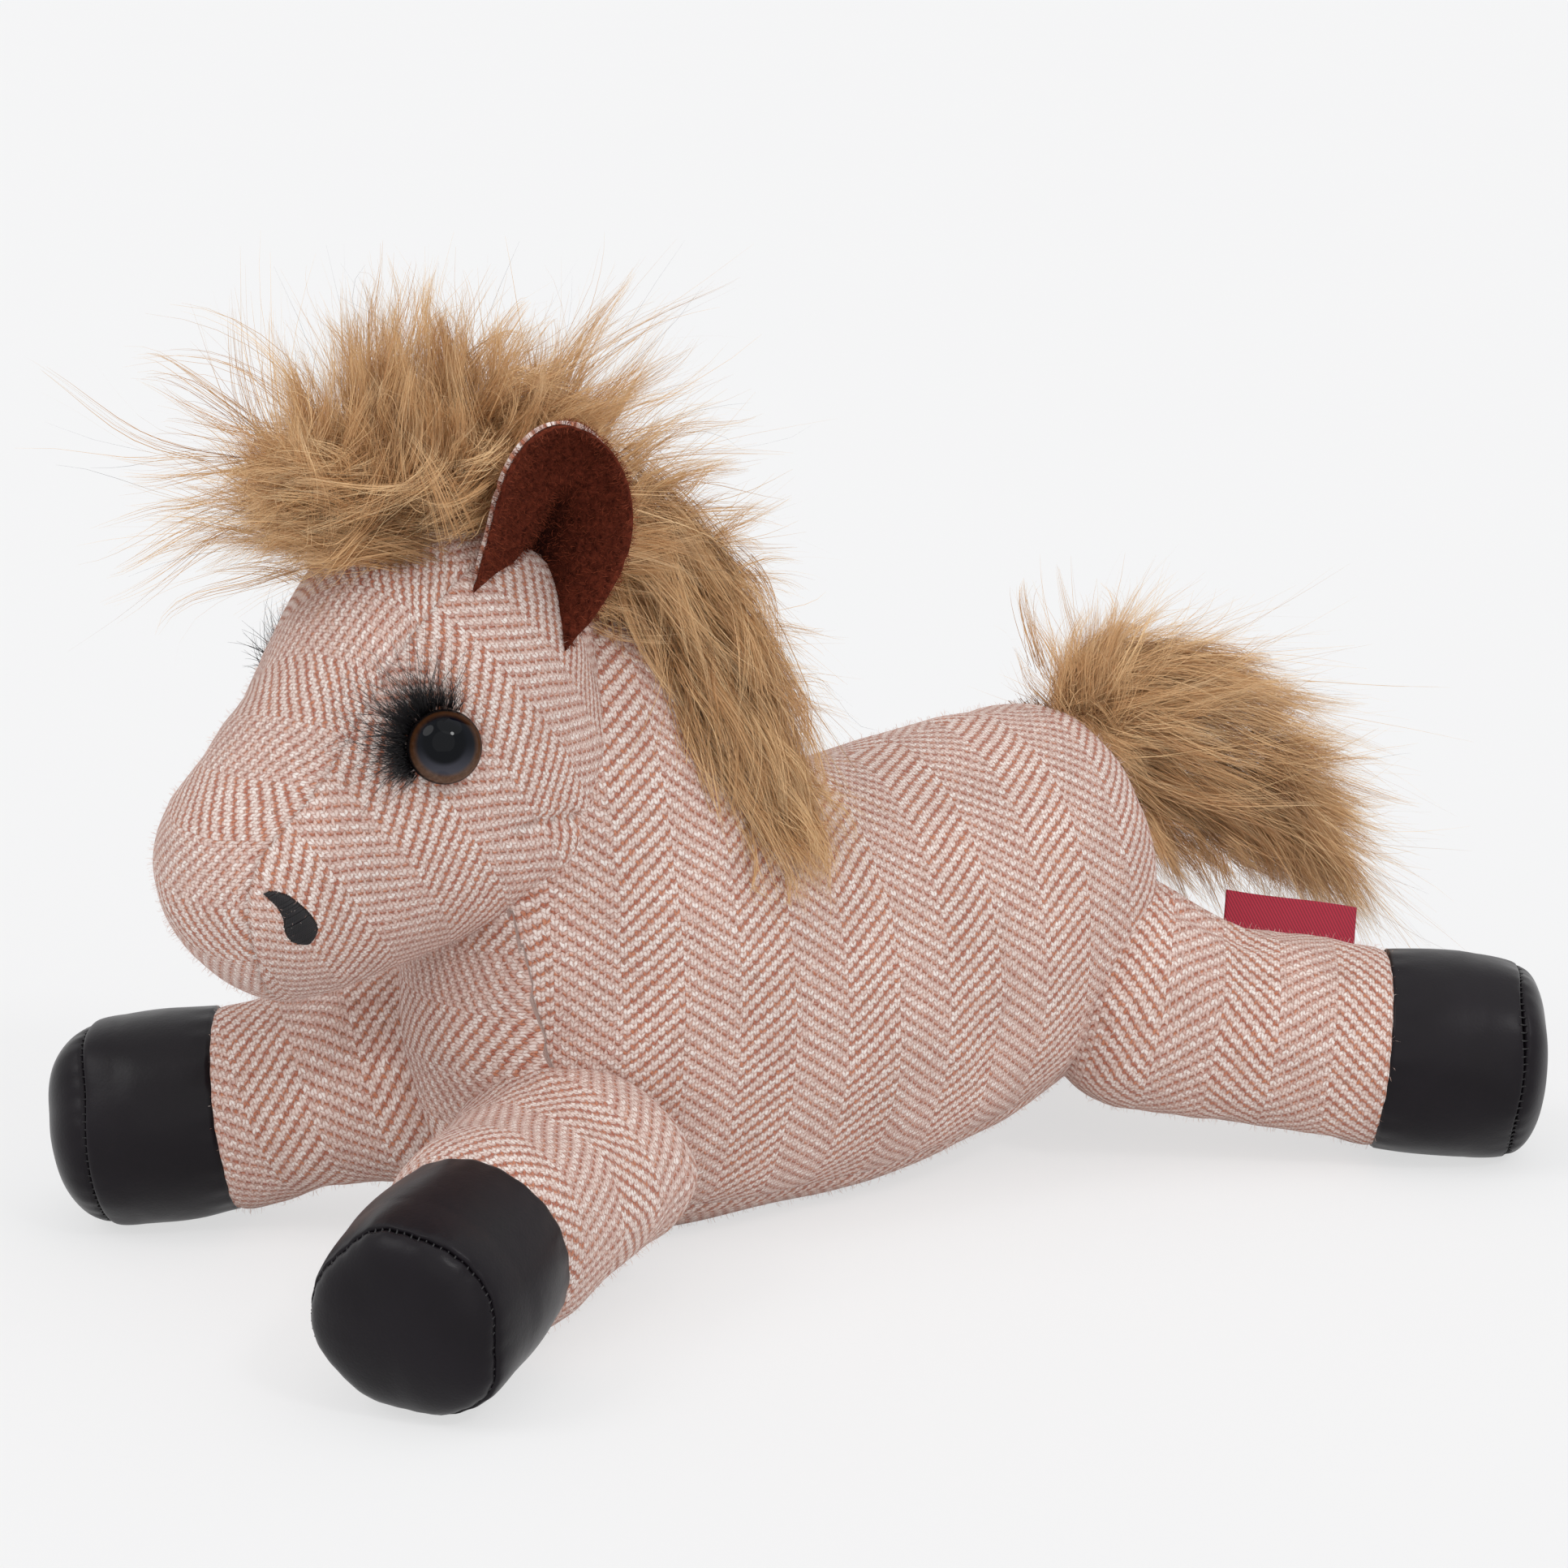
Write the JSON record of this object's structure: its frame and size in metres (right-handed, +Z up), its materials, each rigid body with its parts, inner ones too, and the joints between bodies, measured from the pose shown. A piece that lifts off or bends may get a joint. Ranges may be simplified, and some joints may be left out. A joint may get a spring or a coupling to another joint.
{
  "type": "plush horse",
  "caption": "Stuffed herringbone knit horse lying with spread legs, with faux leather hooves, felt-lined ears, dome eyes with lashes, and faux fur forelock, mane and tail.",
  "frame": {"origin": "on the floor at the middle of the belly's flat rest", "axes": "+X to the horse's tail, -Y to its left side, +Z up"},
  "size_m": [0.3247, 0.1882, 0.1998],
  "materials": {
    "knit": "herringbone jersey knit in cream pink and rust, stuffed with polyester fibre",
    "hoof_leather": "satin black faux leather",
    "ear_felt": "rust brown felt",
    "fur": "long pile faux fur, tan with dark tips",
    "eye": "clear brown dome with a black pupil",
    "washer": "white nylon",
    "black_thread": "satin stitch",
    "lash_fibre": "black fibre fringe",
    "red_twill": "woven twill ribbon, bare"
  },
  "bodies": {
    "torso": {"torso": "knit", "mane": "fur"},
    "head": {"head": "knit", "forelock": "fur", "left_eye": "eye", "left_eye_washer": "washer", "left_lashes": "lash_fibre", "left_nostril": "black_thread", "right_eye": "eye", "right_eye_washer": "washer", "right_lashes": "lash_fibre", "right_nostril": "black_thread"},
    "tail": {"tail": "fur"},
    "woven_tab": {"woven_tab": "red_twill"},
    "left_ear": {"left_ear_back": "knit", "left_ear_lining": "ear_felt"},
    "left_foreleg": {"left_foreleg": "knit", "left_fore_hoof_band": "hoof_leather", "left_fore_hoof_sole": "hoof_leather"},
    "left_hind_leg": {"left_hind_leg": "knit", "left_hind_hoof_band": "hoof_leather", "left_hind_hoof_sole": "hoof_leather"},
    "right_ear": {"right_ear_back": "knit", "right_ear_lining": "ear_felt"},
    "right_foreleg": {"right_foreleg": "knit", "right_fore_hoof_band": "hoof_leather", "right_fore_hoof_sole": "hoof_leather"},
    "right_hind_leg": {"right_hind_leg": "knit", "right_hind_hoof_band": "hoof_leather", "right_hind_hoof_sole": "hoof_leather"}
  },
  "joints": [
    {"name": "head_nod", "type": "hinge", "parent": "torso", "child": "head", "pos_m": [-0.063, 0, 0.1068], "axis": [0, 1, 0], "range_deg": [-8, 8], "stiffness_Nm_per_rad": 0.6},
    {"name": "tail_lift", "type": "hinge", "parent": "torso", "child": "tail", "pos_m": [0.08856, 0, 0.09114], "axis": [0, 1, 0], "range_deg": [-15, 10], "stiffness_Nm_per_rad": 0.3},
    {"name": "left_foreleg_spread", "type": "hinge", "parent": "torso", "child": "left_foreleg", "pos_m": [-0.0621, -0.0248, 0.02695], "axis": [0, 0, 1], "range_deg": [-8, 8], "stiffness_Nm_per_rad": 0.4},
    {"name": "left_hind_leg_spread", "type": "hinge", "parent": "torso", "child": "left_hind_leg", "pos_m": [0.0846, -0.0208, 0.03773], "axis": [0, 0, 1], "range_deg": [-8, 8], "stiffness_Nm_per_rad": 0.4},
    {"name": "left_ear_fold", "type": "hinge", "parent": "head", "child": "left_ear", "pos_m": [-0.073, -0.02574, 0.14422], "axis": [0.8316, -0.2425, -0.4997], "range_deg": [-12, 12], "stiffness_Nm_per_rad": 0.02},
    {"name": "right_foreleg_spread", "type": "hinge", "parent": "torso", "child": "right_foreleg", "pos_m": [-0.0621, 0.0248, 0.02695], "axis": [0, 0, 1], "range_deg": [-8, 8], "stiffness_Nm_per_rad": 0.4},
    {"name": "right_hind_leg_spread", "type": "hinge", "parent": "torso", "child": "right_hind_leg", "pos_m": [0.0846, 0.0208, 0.03773], "axis": [0, 0, 1], "range_deg": [-8, 8], "stiffness_Nm_per_rad": 0.4},
    {"name": "right_ear_fold", "type": "hinge", "parent": "head", "child": "right_ear", "pos_m": [-0.073, 0.02574, 0.14422], "axis": [0.8316, 0.2425, -0.4997], "range_deg": [-12, 12], "stiffness_Nm_per_rad": 0.02},
    {"name": "tab_flap", "type": "hinge", "parent": "left_hind_leg", "child": "woven_tab", "pos_m": [0.12626, -0.03228, 0.04545], "axis": [0.7786, -0.5867, -0.2227], "range_deg": [-20, 20], "stiffness_Nm_per_rad": 0.0008}
  ]
}
